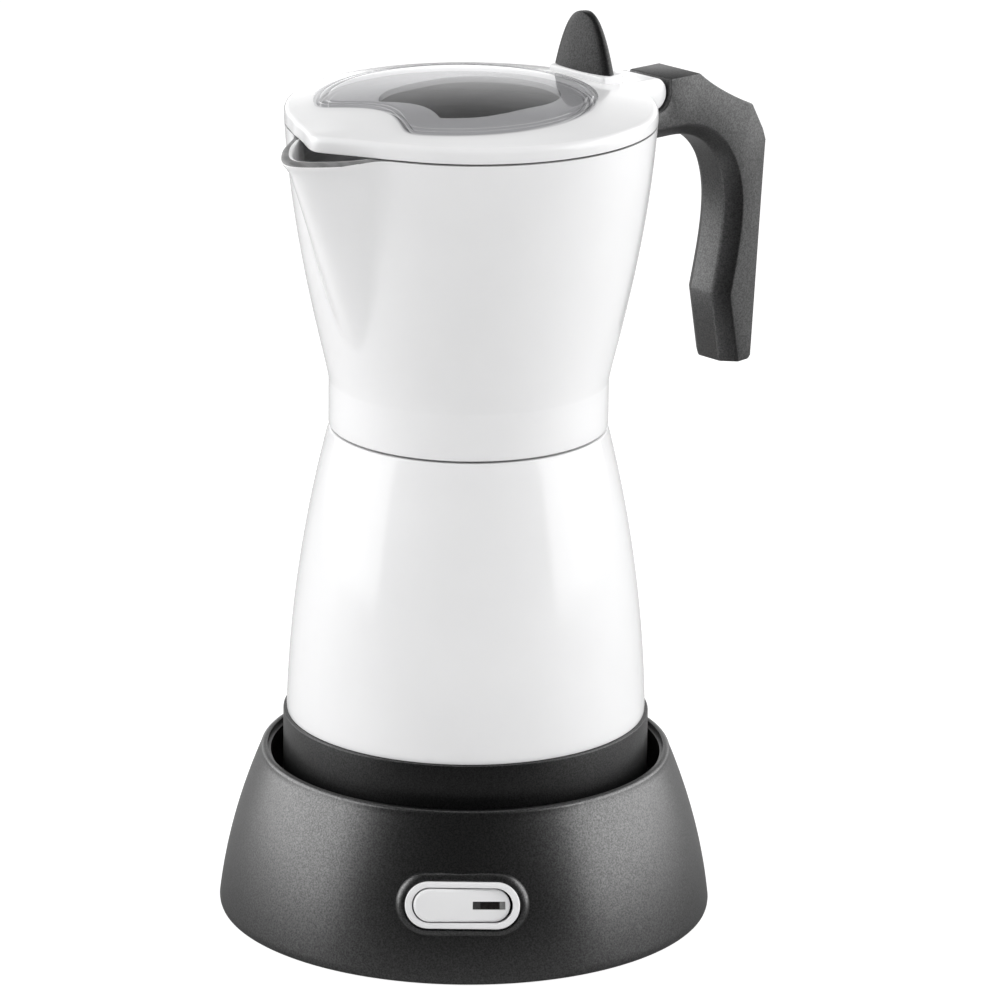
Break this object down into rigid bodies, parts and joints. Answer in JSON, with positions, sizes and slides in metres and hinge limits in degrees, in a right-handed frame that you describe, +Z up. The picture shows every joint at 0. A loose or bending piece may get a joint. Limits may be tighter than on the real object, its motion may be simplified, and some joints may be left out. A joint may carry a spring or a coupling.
{
  "type": "electric moka pot",
  "caption": "Electric moka pot on a round cordless base: white boiler and spouted jug screwed at a narrow waist, hinged lid with smoky window, black handle, rocker switch.",
  "frame": {"origin": "on the pot's vertical axis, at the plane of the foot ring's underside", "axes": "+Z up along the pot's axis, +X towards the handle, -X towards the spout; the switch faces out between -X and -Y"},
  "size_m": [0.1765, 0.1392, 0.2519],
  "materials": {
    "white_paint": "glossy white enamel over cast aluminium",
    "black_plastic": "fine-grained matte black",
    "black_rubber": "soft matte black",
    "seal_rubber": "off-white silicone",
    "white_plastic": "satin white",
    "dark_window": "dark tinted indicator",
    "smoky_window": "clear smoky grey",
    "connector_plastic": "heat-resistant black",
    "contact_brass": "plain",
    "valve_brass": "turned",
    "steel": "plain zinc-plated",
    "element_steel": "dull, heat-stained",
    "bare_aluminium": "bare, spun",
    "wire_sleeve": "silicone-sleeved wire",
    "ceramic": "unglazed"
  },
  "bodies": {
    "base": {"base_housing": "black_plastic", "base_deck": "black_plastic", "base_bottom_plate": "black_plastic", "base_foot_ring": "black_rubber", "base_screws": "steel", "base_connector": "connector_plastic", "base_contacts": "contact_brass", "switch_bezel": "white_plastic", "switch_body": "connector_plastic", "switch_terminals": "contact_brass", "cord_gland": "black_rubber", "gland_nut": "connector_plastic", "base_wires": "wire_sleeve"},
    "rocker": {"switch_rocker": "white_plastic", "switch_indicator": "dark_window"},
    "plug": {"pot_connector": "connector_plastic", "pot_contact_pin": "contact_brass", "pot_contact_ring": "contact_brass"},
    "lower_pot": {"boiler": "white_paint", "boiler_skirt": "black_plastic", "skirt_floor": "black_plastic", "skirt_screws": "steel", "heater_plate": "bare_aluminium", "heating_element": "element_steel", "thermostat": "connector_plastic", "thermal_fuse": "ceramic", "heater_wires": "wire_sleeve", "coffee_funnel": "bare_aluminium", "valve_body": "valve_brass", "valve_nut": "valve_brass", "valve_spring": "steel"},
    "relief_pin": {"valve_pin": "valve_brass"},
    "seal": {"gasket": "seal_rubber", "filter_plate": "bare_aluminium"},
    "upper_pot": {"jug": "white_paint", "handle": "black_plastic", "handle_screw": "steel", "hinge_pin": "steel"},
    "cover": {"lid": "white_paint", "lid_window": "smoky_window", "lid_knob": "black_plastic", "knob_screw": "steel"}
  },
  "joints": [
    {"name": "switch_rock", "type": "hinge", "parent": "base", "child": "rocker", "pos_m": [-0.04354, -0.04669, 0.02192], "axis": [-0.1706, -0.183, -0.9682], "range_deg": [0, 11]},
    {"name": "pot_lift", "type": "slide", "parent": "base", "child": "plug", "axis": [0, 0, 1], "range_m": [0, 0.1]},
    {"name": "pot_swivel", "type": "hinge", "parent": "plug", "child": "lower_pot", "pos_m": [0, 0, 0.0293], "axis": [0, 0, 1], "continuous": true},
    {"name": "jug_rise", "type": "slide", "parent": "lower_pot", "child": "seal", "axis": [0, 0, 1], "range_m": [0, 0.0073]},
    {"name": "jug_turn", "type": "hinge", "parent": "seal", "child": "upper_pot", "pos_m": [0, 0, 0.1412], "axis": [0, 0, 1], "range_deg": [0, 810]},
    {"name": "lid_hinge", "type": "hinge", "parent": "upper_pot", "child": "cover", "pos_m": [0.0634, 0, 0.2261], "axis": [0, 1, 0], "range_deg": [0, 90]},
    {"name": "valve_slide", "type": "slide", "parent": "lower_pot", "child": "relief_pin", "axis": [0.6763, 0.7253, 0.1289], "range_m": [0, 0.0015], "stiffness_N_per_m": 1500, "springref_m": -0.001, "deforming": ["valve_spring"]}
  ],
  "couplings": [
    {"joint": "jug_rise", "follows": "jug_turn", "m_per_rad": 0.0005093}
  ]
}
